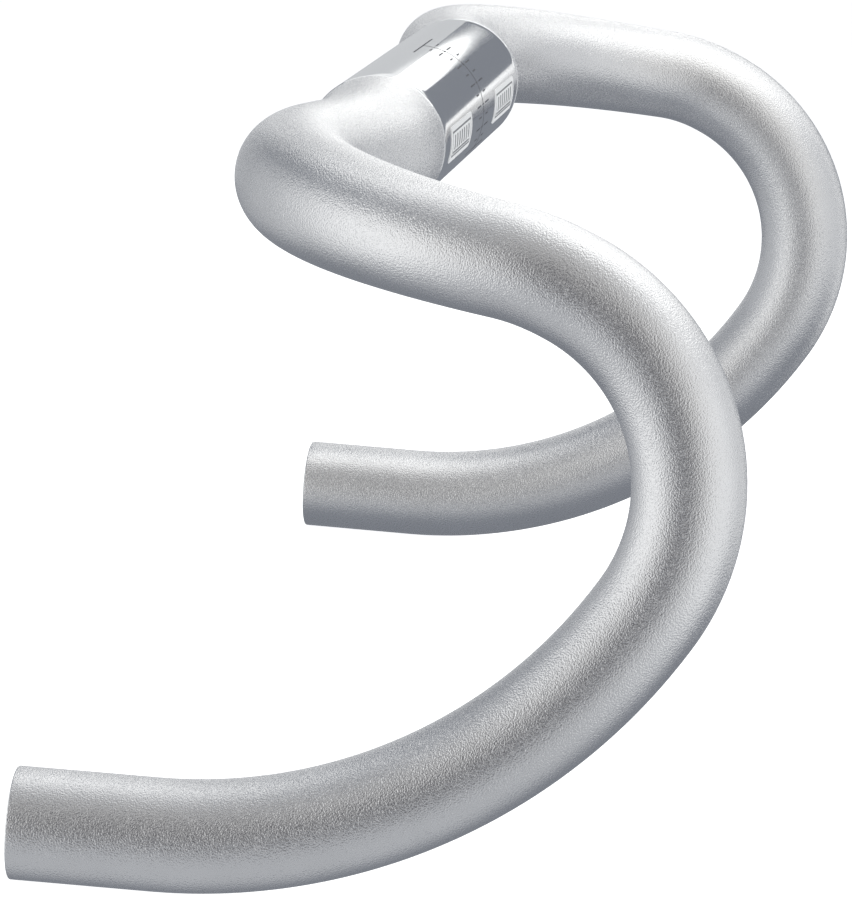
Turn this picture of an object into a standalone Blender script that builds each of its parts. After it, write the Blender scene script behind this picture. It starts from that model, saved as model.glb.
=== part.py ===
"""Drop handlebar: one butted, swaged and bent aluminium tube with two small labels.

Run with: blender --background --python part.py
Metres, +Z up. The origin is the middle of the clamp zone, on the tube's axis. +X runs along the
clamp zone to the rider's right, +Y points forwards, and the ends of the drops are level.
"""
import math

import bmesh
import bpy
from mathutils import Matrix, Vector

MM = 0.001

# Driving dimensions, in millimetres.
CLAMP_DIAMETER = 31.8
TOPS_DIAMETER = 26.6
GRIP_DIAMETER = 23.8
CLAMP_WALL = 2.0
GRIP_WALL = 1.5
DROP = 130.0                    # from the clamp's axis down to the axis of the drops
CLAMP_TAPER = (73.0, 109.5)     # where the clamp zone narrows to the tops, along the axis
RAMP_TAPER = (157.5, 247.5)     # where the tops narrow to the grips, along the axis

# The right half's centre line as on a tube drawing: the points where neighbouring straights meet,
# each with its bend radius. The first is the middle of the bar and the last is the open end.
BENDS = [
    (Vector((0.0, 0.0, 0.0)), 0.0),
    (Vector((90.0, 0.0, 0.0)), 50.0),           # gentle back sweep of the tops
    (Vector((187.0, -22.0, 1.0)), 73.0),        # corner
    (Vector((209.0, 50.5, -7.5)), 35.0),        # ramp
    (Vector((210.0, 106.0, -32.0)), 45.0),      # top of the hook
    (Vector((214.0, 43.0, -DROP)), 115.0),      # bottom of the hook
    (Vector((216.0, -49.0, -DROP)), 0.0),
]

LABEL_SPAN = (25.0, 66.0)       # inner and outer end of a label, from the middle of the bar
LABEL_ANGLES = (-16.0, 14.0)    # lower and upper edge, in degrees above straight forwards
LABEL_THICKNESS = 0.3
LABEL_CORNER = 1.6
LABEL_GAP = 0.3                 # between a label and the tube

# Fineness of the facets.
BORE_SIDES = 14
OUTER_SIDES = 2 * BORE_SIDES
RING_SPACING = 14.0             # between rings on a straight
BEND_STEP = math.radians(9.0)   # between rings in a bend
LABEL_ROWS = 12


def material(name, colour, metallic, roughness):
    """A plain Principled material."""
    made = bpy.data.materials.new(name)
    made.use_nodes = True
    shader = made.node_tree.nodes["Principled BSDF"]
    shader.inputs["Base Color"].default_value = (*colour, 1.0)
    shader.inputs["Metallic"].default_value = metallic
    shader.inputs["Roughness"].default_value = roughness
    return made


def add_object(name, shape, made):
    """Turn a bmesh into a smooth-shaded object in the scene."""
    bmesh.ops.recalc_face_normals(shape, faces=shape.faces)
    mesh = bpy.data.meshes.new(name)
    shape.to_mesh(mesh)
    shape.free()
    mesh.shade_smooth()
    mesh.set_sharp_from_angle(angle=math.radians(40.0))
    mesh.materials.append(made)
    placed = bpy.data.objects.new(name, mesh)
    bpy.context.scene.collection.objects.link(placed)
    return placed


def straight_points(start, end):
    """Evenly spaced points from start up to, but without, end."""
    steps = max(1, round((end - start).length / RING_SPACING))
    return [start.lerp(end, step / steps) for step in range(steps)]


def bend_points(before, corner, after, radius):
    """The points of the arc that rounds one corner, first and last included."""
    back = (before - corner).normalized()
    ahead = (after - corner).normalized()
    turn = math.pi - back.angle(ahead)
    middle = corner + (back + ahead).normalized() * (radius / math.cos(turn / 2))
    first = corner + back * radius * math.tan(turn / 2)
    outwards = (first - middle).normalized()
    steps = max(2, math.ceil(turn / BEND_STEP))
    angles = [turn * step / steps for step in range(steps + 1)]
    return [middle + radius * (math.cos(angle) * outwards - math.sin(angle) * back) for angle in angles]


def half_centre_line():
    """The right half's centre line, from the middle of the bar to its open end."""
    corners = [corner for corner, radius in BENDS]
    points = []
    last = corners[0]
    for index in range(1, len(BENDS) - 1):
        arc = bend_points(*corners[index - 1:index + 2], BENDS[index][1])
        points += straight_points(last, arc[0]) + arc[:-1]
        last = arc[-1]
    return points + straight_points(last, corners[-1]) + [corners[-1]]


def whole_centre_line():
    """Points from the left end to the right end, and how far along the axis each is from the middle."""
    half = half_centre_line()
    distances = [0.0]
    for here, there in zip(half, half[1:]):
        distances.append(distances[-1] + (there - here).length)
    left = [Vector((-point.x, point.y, point.z)) for point in half[:0:-1]]
    return left + half, distances[:0:-1] + distances


def smooth_step(value, span):
    """0 before the span, 1 after it, and a smooth change between."""
    part = min(1.0, max(0.0, (value - span[0]) / (span[1] - span[0])))
    return part * part * (3.0 - 2.0 * part)


def outer_radius(distance):
    """Outer radius of the tube at a distance from the middle of the bar."""
    diameter = CLAMP_DIAMETER
    diameter -= (CLAMP_DIAMETER - TOPS_DIAMETER) * smooth_step(distance, CLAMP_TAPER)
    diameter -= (TOPS_DIAMETER - GRIP_DIAMETER) * smooth_step(distance, RAMP_TAPER)
    return diameter / 2


def bore_radius(distance):
    """Inner radius. The wall thins with the clamp zone's taper."""
    return outer_radius(distance) - CLAMP_WALL + (CLAMP_WALL - GRIP_WALL) * smooth_step(distance, CLAMP_TAPER)


def tangents(points):
    """The direction of the centre line at each point."""
    runs = [(there - here).normalized() for here, there in zip(points, points[1:])]
    inner = [(before + after).normalized() for before, after in zip(runs, runs[1:])]
    return [runs[0]] + inner + [runs[-1]]


def tube_skin(shape, points, distances, radius_at, sides):
    """Rings of vertices joined into an open tube. Gives back the first and the last ring."""
    rings = []
    side = Vector((0.0, 0.0, 1.0))
    for point, distance, tangent in zip(points, distances, tangents(points)):
        side = (side - tangent * side.dot(tangent)).normalized()
        arm = side * radius_at(distance)
        spins = [Matrix.Rotation(2 * math.pi * step / sides, 3, tangent) for step in range(sides)]
        rings.append([shape.verts.new((point + spin @ arm) * MM) for spin in spins])
    for ring, following in zip(rings, rings[1:]):
        for step in range(sides):
            after = (step + 1) % sides
            shape.faces.new((ring[step], ring[after], following[after], following[step]))
    return rings[0], rings[-1]


def end_wall(shape, outer_ring, bore_ring):
    """The flat ring of wall at an open end, where each bore side meets two outer sides."""
    for step, corner in enumerate(bore_ring):
        next_corner = bore_ring[(step + 1) % BORE_SIDES]
        first, middle, last = (outer_ring[(2 * step + more) % OUTER_SIDES] for more in range(3))
        shape.faces.new((first, middle, corner))
        shape.faces.new((middle, last, next_corner))
        shape.faces.new((middle, next_corner, corner))


def bar_tube(metal):
    """The bar: outer skin, bore, and the flat ring of wall at each open end."""
    shape = bmesh.new()
    points, distances = whole_centre_line()
    outside = tube_skin(shape, points, distances, outer_radius, OUTER_SIDES)
    inside = tube_skin(shape, points, distances, bore_radius, BORE_SIDES)
    for outer_ring, bore_ring in zip(outside, inside):
        end_wall(shape, outer_ring, bore_ring)
    bmesh.ops.triangulate(shape, faces=shape.faces)
    add_object("bar_tube", shape, metal)


def corner_inset(from_edge):
    """How far a label's rounded corners draw its ends in, at this distance from its long edge."""
    if from_edge >= LABEL_CORNER:
        return 0.0
    return LABEL_CORNER - math.sqrt(LABEL_CORNER ** 2 - (LABEL_CORNER - from_edge) ** 2)


def label_row(shape, angle, level, side):
    """The two end vertices of a label at one angle round the tube and one radius."""
    to_edge = min(angle - math.radians(LABEL_ANGLES[0]), math.radians(LABEL_ANGLES[1]) - angle)
    inset = corner_inset(max(0.0, to_edge) * CLAMP_DIAMETER / 2)
    places = (LABEL_SPAN[0] + inset, LABEL_SPAN[1] - inset)
    return [shape.verts.new(Vector((side * place, math.cos(angle) * level, math.sin(angle) * level)) * MM)
            for place in places]


def label(name, side, face):
    """A thin curved plate on the front of the clamp zone. side is 1 on the right, -1 on the left."""
    shape = bmesh.new()
    inner_level = CLAMP_DIAMETER / 2 + LABEL_GAP
    low, high = (math.radians(angle) for angle in LABEL_ANGLES)
    # Rows crowd towards the long edges, where the rounded corners need them.
    shares = [(1 - math.cos(math.pi * row / LABEL_ROWS)) / 2 for row in range(LABEL_ROWS + 1)]
    under, over = [[label_row(shape, low + (high - low) * share, level, side) for share in shares]
                   for level in (inner_level, inner_level + LABEL_THICKNESS)]
    for row in range(LABEL_ROWS):
        for layer in (under, over):
            shape.faces.new((*layer[row], *reversed(layer[row + 1])))
        for end in (0, 1):
            shape.faces.new((under[row][end], under[row + 1][end], over[row + 1][end], over[row][end]))
    for row in (0, LABEL_ROWS):
        shape.faces.new((*under[row], *reversed(over[row])))
    bmesh.ops.triangulate(shape, faces=shape.faces)
    add_object(name, shape, face)


def build():
    """Clear the scene and model the handlebar."""
    for existing in list(bpy.data.objects):
        bpy.data.objects.remove(existing, do_unlink=True)
    bar_tube(material("blasted_aluminium", (0.72, 0.73, 0.75), 1.0, 0.42))
    frosted = material("label_face", (0.80, 0.81, 0.82), 0.0, 0.5)
    label("label_right", 1, frosted)
    label("label_left", -1, frosted)


build()
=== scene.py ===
"""The looks of the drop handlebar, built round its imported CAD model.

Lengths are in metres. The tube's skin is one dense closed mesh along the CAD model's centre line.
"""
import math

import bmesh
import bpy
import numpy as np
from mathutils import Matrix, Vector


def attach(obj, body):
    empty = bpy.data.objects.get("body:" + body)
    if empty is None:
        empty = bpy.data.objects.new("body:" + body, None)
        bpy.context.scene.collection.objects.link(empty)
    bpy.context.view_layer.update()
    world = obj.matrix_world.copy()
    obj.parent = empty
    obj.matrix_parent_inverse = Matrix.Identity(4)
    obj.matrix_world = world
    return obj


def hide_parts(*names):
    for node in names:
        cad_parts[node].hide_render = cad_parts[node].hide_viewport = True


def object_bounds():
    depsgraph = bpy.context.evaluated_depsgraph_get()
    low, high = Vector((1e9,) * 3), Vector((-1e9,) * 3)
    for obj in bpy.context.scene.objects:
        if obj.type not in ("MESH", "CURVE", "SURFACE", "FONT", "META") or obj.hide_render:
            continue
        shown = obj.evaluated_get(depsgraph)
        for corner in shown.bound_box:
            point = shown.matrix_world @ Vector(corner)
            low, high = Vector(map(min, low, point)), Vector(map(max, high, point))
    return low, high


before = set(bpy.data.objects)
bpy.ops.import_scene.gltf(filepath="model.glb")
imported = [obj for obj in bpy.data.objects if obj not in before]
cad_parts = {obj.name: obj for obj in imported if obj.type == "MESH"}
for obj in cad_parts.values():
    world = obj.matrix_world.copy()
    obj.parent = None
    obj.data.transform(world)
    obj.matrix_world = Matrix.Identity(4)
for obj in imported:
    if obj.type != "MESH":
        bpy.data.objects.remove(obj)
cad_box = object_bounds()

MM = 0.001

# ---------------------------------------------------------------- the tube, as part.py makes it
CLAMP_RADIUS = 15.9 * MM
TOPS_RADIUS = 13.3 * MM
GRIP_RADIUS = 11.9 * MM
CLAMP_WALL = 2.0 * MM
GRIP_WALL = 1.5 * MM
CLAMP_TAPER = (73.0 * MM, 109.5 * MM)
RAMP_TAPER = (157.5 * MM, 247.5 * MM)
BENDS = [(np.array(corner) * MM, radius * MM) for corner, radius in (
    ((0.0, 0.0, 0.0), 0.0),
    ((90.0, 0.0, 0.0), 50.0),
    ((187.0, -22.0, 1.0), 73.0),
    ((209.0, 50.5, -7.5), 35.0),
    ((210.0, 106.0, -32.0), 45.0),
    ((214.0, 43.0, -130.0), 115.0),
    ((216.0, -49.0, -130.0), 0.0),
)]

# ---------------------------------------------------------------- surface detail
SKIN_INSET = 0.03 * MM          # keeps the round skin inside the faceted CAD model's box
HOOK_INSET = 0.12 * MM          # the same along the hooks, whose facets are longer
POLISH_EDGE = 77.5 * MM         # half length of the polished zone
LIP_WIDTH = 0.60 * MM           # bright rounded lip where the blasting was masked off
LIP_HEIGHT = 0.12 * MM
RIM_ROUND = 0.35 * MM           # rounding of the cut ends' edges
SIDES = 128
RING_STEP = 2.0 * MM

# ---------------------------------------------------------------- camera and stage
CAMERA_PLACE = Vector((1.33661, 0.15585, 0.14312))
CAMERA_FORWARD = Vector((-0.980291, -0.108974, -0.164787))
CAMERA_RIGHT = Vector((-0.120876, 0.990603, 0.063982))
LENS = 226.1                    # on the camera's 36 mm sensor, along the picture's longer side
FLOOR_HEIGHT = cad_box[0][2] - 0.2 * MM
FLOOR_REACH = 12.0
FLOOR_GLOW = 0.84               # keeps the floor as pale as a lit white sheet


# ================================================================ shape of the tube
def unit(vector):
    """The vector at length 1."""
    return vector / np.linalg.norm(vector)


def centre_pieces():
    """The right half's centre line as straights and arcs, each (length, place at, direction at)."""
    pieces = []
    corners = [corner for corner, radius in BENDS]
    last = corners[0]
    for index in range(1, len(BENDS) - 1):
        back = unit(corners[index - 1] - corners[index])
        ahead = unit(corners[index + 1] - corners[index])
        radius = BENDS[index][1]
        turn = math.pi - math.acos(float(back @ ahead))
        middle = corners[index] + unit(back + ahead) * radius / math.cos(turn / 2)
        first = corners[index] + back * radius * math.tan(turn / 2)
        pieces.append(straight_piece(last, first))
        pieces.append(arc_piece(middle, unit(first - middle), back, radius, turn))
        last = pieces[-1][1](radius * turn)
    pieces.append(straight_piece(last, corners[-1]))
    return pieces


def straight_piece(start, end):
    """A straight of the centre line."""
    length = float(np.linalg.norm(end - start))
    heading = (end - start) / length
    return length, (lambda run: start + heading * run), (lambda run: heading)


def arc_piece(middle, outwards, back, radius, turn):
    """A bend of the centre line."""
    def place(run):
        angle = run / radius
        return middle + radius * (math.cos(angle) * outwards - math.sin(angle) * back)

    def heading(run):
        angle = run / radius
        return -math.sin(angle) * outwards - math.cos(angle) * back

    return radius * turn, place, heading


PIECES = centre_pieces()
HALF_LENGTH = sum(piece[0] for piece in PIECES)


def centre_at(distance):
    """Place and heading of the centre line at a distance from the middle of the bar."""
    run = distance
    for length, place, heading in PIECES:
        if run <= length:
            return place(run), heading(run)
        run -= length
    length, place, heading = PIECES[-1]
    return place(length + run), heading(length)


def smooth_step(value, start, end):
    """0 before start, 1 after end, and a smooth change between."""
    part = min(1.0, max(0.0, (value - start) / (end - start)))
    return part * part * (3.0 - 2.0 * part)


def outer_radius(distance):
    """Outer radius of the tube, with the small lip at the polished zone's edge."""
    radius = CLAMP_RADIUS - SKIN_INSET
    radius -= (HOOK_INSET - SKIN_INSET) * smooth_step(distance, *CLAMP_TAPER)
    radius -= (CLAMP_RADIUS - TOPS_RADIUS) * smooth_step(distance, *CLAMP_TAPER)
    radius -= (TOPS_RADIUS - GRIP_RADIUS) * smooth_step(distance, *RAMP_TAPER)
    off_lip = abs(distance - POLISH_EDGE) / (LIP_WIDTH / 2)
    if off_lip < 1.0:
        radius += LIP_HEIGHT * math.sqrt(1.0 - off_lip ** 2)
    return radius


def bore_radius(distance):
    """Inner radius of the tube."""
    wall = CLAMP_WALL - (CLAMP_WALL - GRIP_WALL) * smooth_step(distance, *CLAMP_TAPER)
    radius = CLAMP_RADIUS - (CLAMP_RADIUS - TOPS_RADIUS) * smooth_step(distance, *CLAMP_TAPER)
    return radius - (TOPS_RADIUS - GRIP_RADIUS) * smooth_step(distance, *RAMP_TAPER) - wall


BLASTED, POLISHED, RIM, BORE = range(4)


def half_profile():
    """Rings from the middle of the bar out along the skin, round the rim and back along the bore.

    Each ring is (distance, radius, finish of the strip that follows it).
    """
    rings = []
    places = set(np.linspace(0.0, HALF_LENGTH - RIM_ROUND, round(HALF_LENGTH / RING_STEP)))
    places |= set(POLISH_EDGE + LIP_WIDTH * np.linspace(-0.55, 0.55, 15))
    for distance in sorted(places):
        finish = POLISHED if distance < POLISH_EDGE + LIP_WIDTH * 0.52 else BLASTED
        rings.append((distance, outer_radius(distance), finish))
    outer = outer_radius(HALF_LENGTH)
    inner = bore_radius(HALF_LENGTH)
    for step in range(1, 7):
        angle = math.pi / 2 * step / 6
        rings.append((HALF_LENGTH - RIM_ROUND * (1 - math.sin(angle)),
                      outer - RIM_ROUND * (1 - math.cos(angle)), RIM))
    for step in range(7):
        angle = math.pi / 2 * step / 6
        rings.append((HALF_LENGTH - RIM_ROUND * (1 - math.cos(angle)),
                      inner + RIM_ROUND * (1 - math.sin(angle)), RIM if step < 6 else BORE))
    bore_rings = round(HALF_LENGTH / RING_STEP / 3)
    for distance in np.linspace(HALF_LENGTH - RIM_ROUND, 0.0, bore_rings)[1:]:
        rings.append((distance, bore_radius(distance), BORE))
    return rings


def ring_frames(distances):
    """For each distance: the place, and two directions across the tube that never twist."""
    order = np.argsort(distances)
    up = np.array([0.0, 0.0, 1.0])
    frames = [None] * len(distances)
    for index in order:
        place, heading = centre_at(distances[index])
        up = unit(up - heading * (up @ heading))
        frames[index] = (place, up, np.cross(up, heading))
    return frames


def half_rings():
    """Vertices of every ring of the right half, as an array (rings, sides, 3), and the finishes."""
    profile = half_profile()
    frames = ring_frames([distance for distance, radius, finish in profile])
    angles = 2 * math.pi * np.arange(SIDES) / SIDES
    rows = []
    for (place, up, across), (distance, radius, finish) in zip(frames, profile):
        rows.append(place + radius * (np.cos(angles)[:, None] * up + np.sin(angles)[:, None] * across))
    return np.array(rows), [finish for distance, radius, finish in profile]


def tube_mesh():
    """The closed skin of the whole bar: right half, then the left half as its mirror image."""
    right, finishes = half_rings()
    left = right * np.array([-1.0, 1.0, 1.0])
    skin_to_bore = np.concatenate([right, left[-2:0:-1]])
    strips = finishes[:-1] + finishes[-2:0:-1] + [finishes[0]]
    count = len(skin_to_bore)
    side = np.arange(SIDES)
    after = (side + 1) % SIDES
    faces = []
    for ring in range(count):
        following = (ring + 1) % count
        faces.append(np.stack([ring * SIDES + side, ring * SIDES + after,
                               following * SIDES + after, following * SIDES + side], axis=1))
    mesh = bpy.data.meshes.new("bar_skin")
    mesh.from_pydata(skin_to_bore.reshape(-1, 3).tolist(), [], np.concatenate(faces).tolist())
    mesh.polygons.foreach_set("material_index", np.repeat(strips[:count], SIDES))
    return mesh


# ================================================================ objects
def show(name, mesh, *materials):
    """Put a mesh into the scene as a smooth piece of the root body."""
    shape = bmesh.new()
    shape.from_mesh(mesh)
    bmesh.ops.recalc_face_normals(shape, faces=shape.faces)
    shape.to_mesh(mesh)
    shape.free()
    mesh.shade_smooth()
    mesh.set_sharp_from_angle(angle=math.radians(50.0))
    for made in materials:
        mesh.materials.append(made)
    placed = bpy.data.objects.new(name, mesh)
    bpy.context.scene.collection.objects.link(placed)
    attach(placed, "root")
    return placed


# ================================================================ marks on the clamp zone
def curved_plate(shape, left, right, low, high, floor, top, corner=0.0, rows=10):
    """A closed thin plate that follows the clamp zone, from left to right and low to high degrees."""
    low, high = math.radians(low), math.radians(high)
    shares = [(1 - math.cos(math.pi * row / rows)) / 2 for row in range(rows + 1)]
    layers = []
    for level in (floor, top):
        layer = []
        for share in shares:
            angle = low + (high - low) * share
            to_edge = min(angle - low, high - angle) * CLAMP_RADIUS
            inset = 0.0
            if to_edge < corner:
                inset = corner - math.sqrt(max(0.0, corner ** 2 - (corner - to_edge) ** 2))
            layer.append([shape.verts.new((place, math.cos(angle) * level, math.sin(angle) * level))
                          for place in (left + inset, right - inset)])
        layers.append(layer)
    under, over = layers
    for row in range(rows):
        for layer in layers:
            shape.faces.new((*layer[row], *reversed(layer[row + 1])))
        for end in (0, 1):
            shape.faces.new((under[row][end], under[row + 1][end], over[row + 1][end], over[row][end]))
    for row in (0, rows):
        shape.faces.new((*under[row], *reversed(over[row])))


MARK_FLOOR = CLAMP_RADIUS - 0.15 * MM
MARK_TOP = CLAMP_RADIUS - SKIN_INSET + 0.012 * MM
MAJOR_ANGLES = [-28.0 + 19.5 * step for step in range(7)]
LINE_WIDTH = 0.8 * MM           # the line round the middle
TICK_WIDTH = 0.4 * MM
END_TICK = (1.2 * MM, 18.0 * MM)
LONG_TICK = (3.9 * MM, 11.8 * MM)
SHORT_TICK = (4.2 * MM, 8.9 * MM)
CROSS_TICK = (-1.5 * MM, 1.5 * MM)


def degrees_of(width):
    """The angle round the clamp zone that a width takes, in degrees."""
    return math.degrees(width / CLAMP_RADIUS)


def tick(shape, start, end, angle):
    """One engraved stroke along the bar."""
    half = degrees_of(TICK_WIDTH) / 2
    curved_plate(shape, start, end, angle - half, angle + half, MARK_FLOOR, MARK_TOP, rows=4)


def tick_pair(shape, span, angle):
    """Two strokes, one at each side of the middle."""
    tick(shape, *span, angle)
    tick(shape, -span[1], -span[0], angle)


def alignment_scale(dark):
    """The engraved scale: a line round the middle, crossed by long and short pairs of ticks."""
    shape = bmesh.new()
    curved_plate(shape, -LINE_WIDTH / 2, LINE_WIDTH / 2, MAJOR_ANGLES[0], MAJOR_ANGLES[-1],
                 MARK_FLOOR, MARK_TOP, rows=60)
    for index, angle in enumerate(MAJOR_ANGLES):
        at_end = index in (0, len(MAJOR_ANGLES) - 1)
        tick_pair(shape, END_TICK if at_end else LONG_TICK, angle)
        tick(shape, *CROSS_TICK, angle)
    for low, high in zip(MAJOR_ANGLES, MAJOR_ANGLES[1:]):
        tick_pair(shape, SHORT_TICK, (low + high) / 2)
    mesh = bpy.data.meshes.new("alignment_scale")
    shape.to_mesh(mesh)
    shape.free()
    piece = show("alignment_scale", mesh, dark)


LABEL_SPAN = (25.0 * MM, 66.0 * MM)
LABEL_ANGLES = (-16.0, 14.0)
LABEL_FLOOR = CLAMP_RADIUS - 0.1 * MM
LABEL_TOP = CLAMP_RADIUS + 0.10 * MM
PRINT_TOP = LABEL_TOP + 0.02 * MM
LABEL_CORNER = 1.6 * MM
PRINT_MARGIN = 2.6 * MM         # from the label's ends to the border
PRINT_MARGIN_ANGLE = 5.0        # from the label's long edges to the border, in degrees
BORDER_WIDTH = 0.45 * MM
BAR_COUNT = 7
BAR_WIDTH = 1.8 * MM
UNDERLINE_INSET = 2.0 * MM
UNDERLINE_ANGLES = (1.8, 3.6)   # above the border's lower line, in degrees


def label(side, face, ink):
    """A frosted label with rounded corners and its print."""
    name = "label_right" if side > 0 else "label_left"
    ends = sorted(side * place for place in LABEL_SPAN)
    shape = bmesh.new()
    curved_plate(shape, *ends, *LABEL_ANGLES, LABEL_FLOOR, LABEL_TOP, corner=LABEL_CORNER, rows=24)
    mesh = bpy.data.meshes.new(name)
    shape.to_mesh(mesh)
    shape.free()
    plate = show(name + "_plate", mesh, face)
    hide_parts(name)
    label_print(name, ends, ink)


def label_print(name, ends, ink):
    """A plain border with upright bars and an underline, in place of lettering."""
    left, right = ends[0] + PRINT_MARGIN, ends[1] - PRINT_MARGIN
    low, high = LABEL_ANGLES[0] + PRINT_MARGIN_ANGLE, LABEL_ANGLES[1] - PRINT_MARGIN_ANGLE
    half = degrees_of(BORDER_WIDTH) / 2
    shape = bmesh.new()
    for angle in (low, high):
        curved_plate(shape, left, right, angle - half, angle + half, LABEL_FLOOR, PRINT_TOP, rows=4)
    for place in (left, right - BORDER_WIDTH):
        curved_plate(shape, place, place + BORDER_WIDTH, low, high, LABEL_FLOOR, PRINT_TOP, rows=12)
    pitch = (right - left) / (BAR_COUNT + 1)
    for step in range(1, BAR_COUNT + 1):
        place = left + pitch * step
        curved_plate(shape, place - BAR_WIDTH / 2, place + BAR_WIDTH / 2, low + 5.0, high - 3.0,
                     LABEL_FLOOR, PRINT_TOP, rows=8)
    under, over = (low + angle for angle in UNDERLINE_ANGLES)
    curved_plate(shape, left + UNDERLINE_INSET, right - UNDERLINE_INSET, under, over,
                 LABEL_FLOOR, PRINT_TOP, rows=4)
    mesh = bpy.data.meshes.new(name + "_print")
    shape.to_mesh(mesh)
    shape.free()
    printed = show(name + "_print", mesh, ink)


# ================================================================ materials
def principled(name, colour, metallic, roughness):
    """A new material, its node tree's nodes and links, and its Principled shader."""
    made = bpy.data.materials.new(name)
    made.use_nodes = True
    tree = made.node_tree
    shader = tree.nodes["Principled BSDF"]
    shader.inputs["Base Color"].default_value = (*colour, 1.0)
    shader.inputs["Metallic"].default_value = metallic
    shader.inputs["Roughness"].default_value = roughness
    return made, tree, shader


def add(tree, kind, inputs=None, **settings):
    """A new node with its settings and with its inputs set or linked."""
    node = tree.nodes.new(kind)
    for key, value in settings.items():
        setattr(node, key, value)
    for key, value in (inputs or {}).items():
        if isinstance(value, bpy.types.NodeSocket):
            tree.links.new(value, node.inputs[key])
        else:
            node.inputs[key].default_value = value
    return node


def object_place(tree):
    """Where a point lies on the object, in metres."""
    return add(tree, "ShaderNodeTexCoord").outputs["Object"]


def ramp(tree, value, *stops):
    """A linear map through (position, grey) stops."""
    node = add(tree, "ShaderNodeValToRGB", {"Fac": value})
    elements = node.color_ramp.elements
    while len(elements) < len(stops):
        elements.new(0.5)
    for element, (position, grey) in zip(elements, stops):
        element.position = position
        element.color = (*grey, 1.0) if isinstance(grey, tuple) else (grey, grey, grey, 1.0)
    return node.outputs["Color"]


def bump(tree, shader, height, strength, distance):
    """Raise the surface by a texture's value, at most by the distance."""
    node = add(tree, "ShaderNodeBump", {"Height": height, "Strength": strength, "Distance": distance})
    tree.links.new(node.outputs["Normal"], shader.inputs["Normal"])


def vary_roughness(tree, shader, value, low, high):
    """Let the roughness follow a texture's value, between two limits."""
    node = add(tree, "ShaderNodeMapRange", {"Value": value, "From Min": 0.3, "From Max": 0.7,
                                            "To Min": low, "To Max": high})
    tree.links.new(node.outputs["Result"], shader.inputs["Roughness"])


def blasted_aluminium():
    """Bead-blasted aluminium: satin, its grain made of fine overlapping dimples that glint."""
    made, tree, shader = principled("blasted_aluminium", (0.84, 0.84, 0.85), 1.0, 0.38)
    place = object_place(tree)
    dimples = add(tree, "ShaderNodeTexNoise", {"Vector": place, "Scale": 2900.0, "Detail": 1.5})
    patches = add(tree, "ShaderNodeTexNoise", {"Vector": place, "Scale": 60.0, "Detail": 3.0})
    tint = ramp(tree, patches.outputs["Fac"], (0.3, (0.82, 0.82, 0.83)), (0.7, (0.86, 0.86, 0.87)))
    tree.links.new(tint, shader.inputs["Base Color"])
    vary_roughness(tree, shader, dimples.outputs["Fac"], 0.24, 0.30)
    bump(tree, shader, dimples.outputs["Fac"], 1.0, 0.155 * MM)
    return made


def polished_aluminium():
    """The turned and polished clamp zone, with faint lines round it."""
    made, tree, shader = principled("polished_aluminium", (0.86, 0.87, 0.88), 1.0, 0.06)
    place = object_place(tree)
    squeezed = add(tree, "ShaderNodeMapping", {"Vector": place, "Scale": (9000.0, 60.0, 60.0)})
    lines = add(tree, "ShaderNodeTexNoise",
                {"Vector": squeezed.outputs["Vector"], "Scale": 1.0, "Detail": 2.0})
    vary_roughness(tree, shader, lines.outputs["Fac"], 0.04, 0.09)
    bump(tree, shader, lines.outputs["Fac"], 0.05, 0.004 * MM)
    return made


def sawn_aluminium():
    """The cut ends: fine scratches."""
    made, tree, shader = principled("sawn_aluminium", (0.80, 0.81, 0.82), 1.0, 0.32)
    place = object_place(tree)
    scratch = add(tree, "ShaderNodeTexNoise", {"Vector": place, "Scale": 1800.0, "Detail": 4.0})
    bump(tree, shader, scratch.outputs["Fac"], 0.25, 0.03 * MM)
    return made


def drawn_aluminium():
    """The bore as drawn: dull, with a greyer tone."""
    made, tree, shader = principled("drawn_aluminium", (0.50, 0.51, 0.53), 1.0, 0.5)
    place = object_place(tree)
    streak = add(tree, "ShaderNodeTexNoise", {"Vector": place, "Scale": 900.0, "Detail": 4.0})
    bump(tree, shader, streak.outputs["Fac"], 0.3, 0.04 * MM)
    return made


def laser_mark():
    """The dark oxide of a laser-engraved mark."""
    made, tree, shader = principled("laser_mark", (0.045, 0.05, 0.06), 0.0, 0.6)
    place = object_place(tree)
    spots = add(tree, "ShaderNodeTexNoise", {"Vector": place, "Scale": 4000.0, "Detail": 2.0})
    tint = ramp(tree, spots.outputs["Fac"], (0.3, (0.03, 0.035, 0.045)), (0.7, (0.08, 0.085, 0.10)))
    tree.links.new(tint, shader.inputs["Base Color"])
    return made


def frosted_label():
    """The label's face: frosted and pale."""
    made, tree, shader = principled("frosted_label", (0.82, 0.83, 0.84), 0.25, 0.42)
    place = object_place(tree)
    frost = add(tree, "ShaderNodeTexNoise", {"Vector": place, "Scale": 3200.0, "Detail": 2.0})
    bump(tree, shader, frost.outputs["Fac"], 0.15, 0.03 * MM)
    return made


def grey_ink():
    """The print on the labels."""
    made, tree, shader = principled("grey_ink", (0.17, 0.18, 0.19), 0.0, 0.5)
    place = object_place(tree)
    spots = add(tree, "ShaderNodeTexNoise", {"Vector": place, "Scale": 3000.0, "Detail": 2.0})
    tint = ramp(tree, spots.outputs["Fac"], (0.3, (0.13, 0.135, 0.145)), (0.7, (0.21, 0.22, 0.235)))
    tree.links.new(tint, shader.inputs["Base Color"])
    return made


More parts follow.
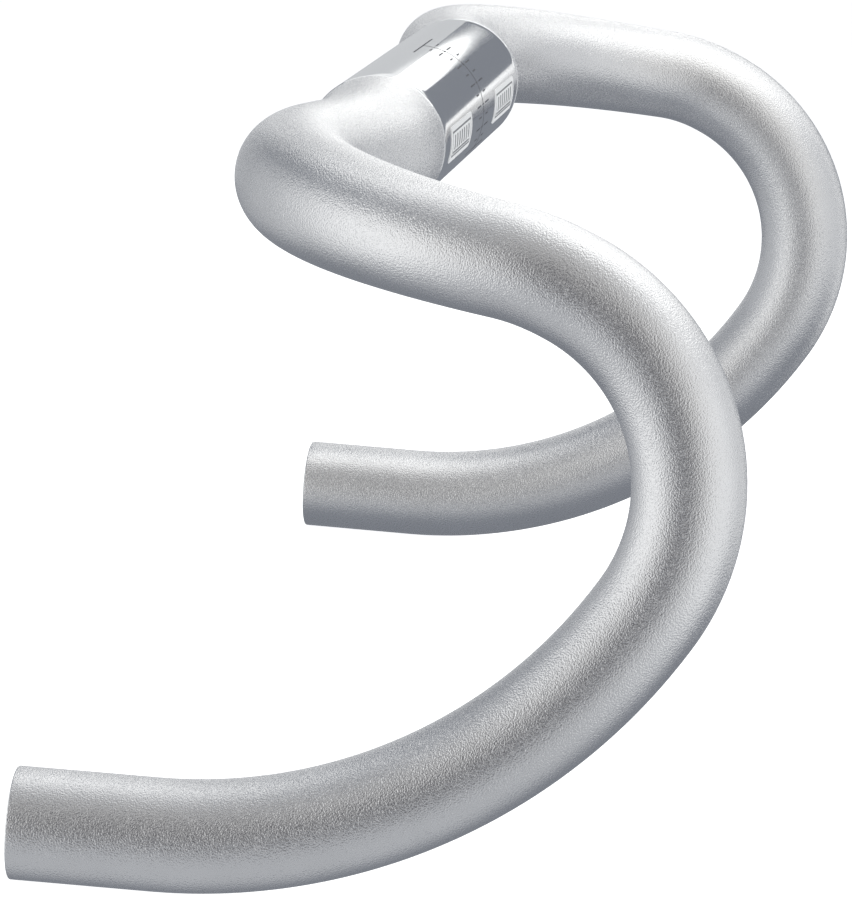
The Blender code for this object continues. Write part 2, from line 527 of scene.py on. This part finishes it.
# ================================================================ stage
# Each panel of the light tent: place of its middle, the way it faces, width and height, brightness.
PANELS = {
    "ceiling_far": ((-0.42, 0.265, 0.50), (0, 0, -1), (0.8, 0.77), 1.15),
    "ceiling_left": ((-0.17, -0.27, 0.50), (0, 0, -1), (0.5, 0.3), 0.90),
    "ceiling_middle": ((0.10, 0.33, 0.49), (0, 0, -1), (0.24, 0.6), 0.85),
    "ceiling_near": ((0.42, 0.15, 0.50), (0, 0, -1), (1.0, 1.0), 0.34),
    "left_near": ((0.50, -0.60, -0.05), (0, 1, 0), (0.8, 0.9), 0.80),
    "left_far": ((-0.40, -0.60, -0.10), (0, 1, 0), (1.0, 0.8), 0.25),
    "right_near": ((0.50, 0.60, 0.0), (0, -1, 0), (0.8, 1.0), 0.65),
    "right_middle": ((-0.20, 0.60, 0.10), (0, -1, 0), (0.6, 0.8), 0.45),
    "right_far": ((-0.85, 0.60, 0.0), (0, -1, 0), (0.5, 1.0), 0.70),
    "back_strip": ((-1.10, 0.01, 0.335), (1, 0, 0), (0.17, 0.34), 1.50),
    "back_left": ((-1.10, -0.335, 0.335), (1, 0, 0), (0.53, 0.34), 0.74),
    "back_right": ((-1.10, 0.35, 0.36), (1, 0, 0), (0.5, 0.29), 1.05),
    "back_low": ((-1.10, -0.34, 0.0), (1, 0, 0), (0.52, 0.34), 0.36),
    "front_left": ((0.90, -0.40, 0.0), (-1, 0, 0), (0.4, 1.0), 0.40),
    "front_right": ((0.90, 0.40, 0.0), (-1, 0, 0), (0.4, 1.0), 0.30),
    "bottom": ((0.50, 0.0, -0.50), (0, 0, 1), (0.8, 1.2), 0.25),
}
PANEL_TINT = (1.0, 0.995, 0.96)


def floor_and_light():
    """A pale floor, a dim world and the tent of light panels."""
    corners = [(x * FLOOR_REACH, y * FLOOR_REACH, FLOOR_HEIGHT)
               for x, y in ((-1, -1), (1, -1), (1, 1), (-1, 1))]
    mesh = bpy.data.meshes.new("floor")
    mesh.from_pydata(corners, [], [(0, 1, 2, 3)])
    floor = bpy.data.objects.new("floor", mesh)
    bpy.context.scene.collection.objects.link(floor)
    made, tree, shader = principled("pale_floor", (0.85, 0.85, 0.85), 0.0, 0.7)
    shader.inputs["Emission Color"].default_value = (1.0, 1.0, 1.0, 1.0)
    shader.inputs["Emission Strength"].default_value = FLOOR_GLOW
    mesh.materials.append(made)
    floor.visible_glossy = False
    floor.visible_shadow = False
    world = bpy.data.worlds.new("studio")
    bpy.context.scene.world = world
    world.use_nodes = True
    tree = world.node_tree
    background = tree.nodes["Background"]
    way = add(tree, "ShaderNodeTexCoord").outputs["Generated"]
    towards = add(tree, "ShaderNodeVectorMath", {0: way, 1: (0.87, 0.05, 0.49)}, operation="DOT_PRODUCT")
    share = add(tree, "ShaderNodeMapRange", {"Value": towards.outputs["Value"], "From Min": -1.0})
    sky = ramp(tree, share.outputs["Result"], (0.0, (0.225, 0.24, 0.27)), (0.72, (0.225, 0.24, 0.27)),
               (0.90, (0.12, 0.12, 0.13)), (1.0, (0.08, 0.08, 0.09)))
    tree.links.new(sky, background.inputs["Color"])
    for name, settings in PANELS.items():
        panel(name, *settings)


def panel(name, place, facing, size, brightness):
    """A rectangular light, at a brightness whatever its size."""
    light = bpy.data.lights.new(name, "AREA")
    light.shape = "RECTANGLE"
    light.size, light.size_y = size
    light.energy = brightness * math.pi * size[0] * size[1]
    light.color = PANEL_TINT
    placed = bpy.data.objects.new(name, light)
    placed.location = place
    placed.rotation_euler = Vector(facing).to_track_quat("-Z", "Y").to_euler()
    placed.visible_camera = False
    bpy.context.scene.collection.objects.link(placed)


def camera():
    """The camera at the photograph's viewing angle."""
    data = bpy.data.cameras.new("camera")
    data.lens = LENS
    data.clip_start = 0.05
    placed = bpy.data.objects.new("camera", data)
    right = CAMERA_RIGHT.normalized()
    backward = -CAMERA_FORWARD.normalized()
    up = backward.cross(right)
    placed.matrix_world = matrix_of(right, up, backward, CAMERA_PLACE)
    bpy.context.scene.collection.objects.link(placed)
    bpy.context.scene.camera = placed


def matrix_of(right, up, backward, place):
    """The world matrix with these axes and this place."""
    made = Matrix((right, up, backward)).transposed().to_4x4()
    made.translation = place
    return made


# ================================================================ build
bpy.context.scene.view_settings.view_transform = "Standard"
camera()
floor_and_light()
skin = show("bar_skin", tube_mesh(), blasted_aluminium(), polished_aluminium(), sawn_aluminium(),
            drawn_aluminium())
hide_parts("bar_tube")
alignment_scale(laser_mark())
for side in (-1, 1):
    label(side, frosted_label(), grey_ink())
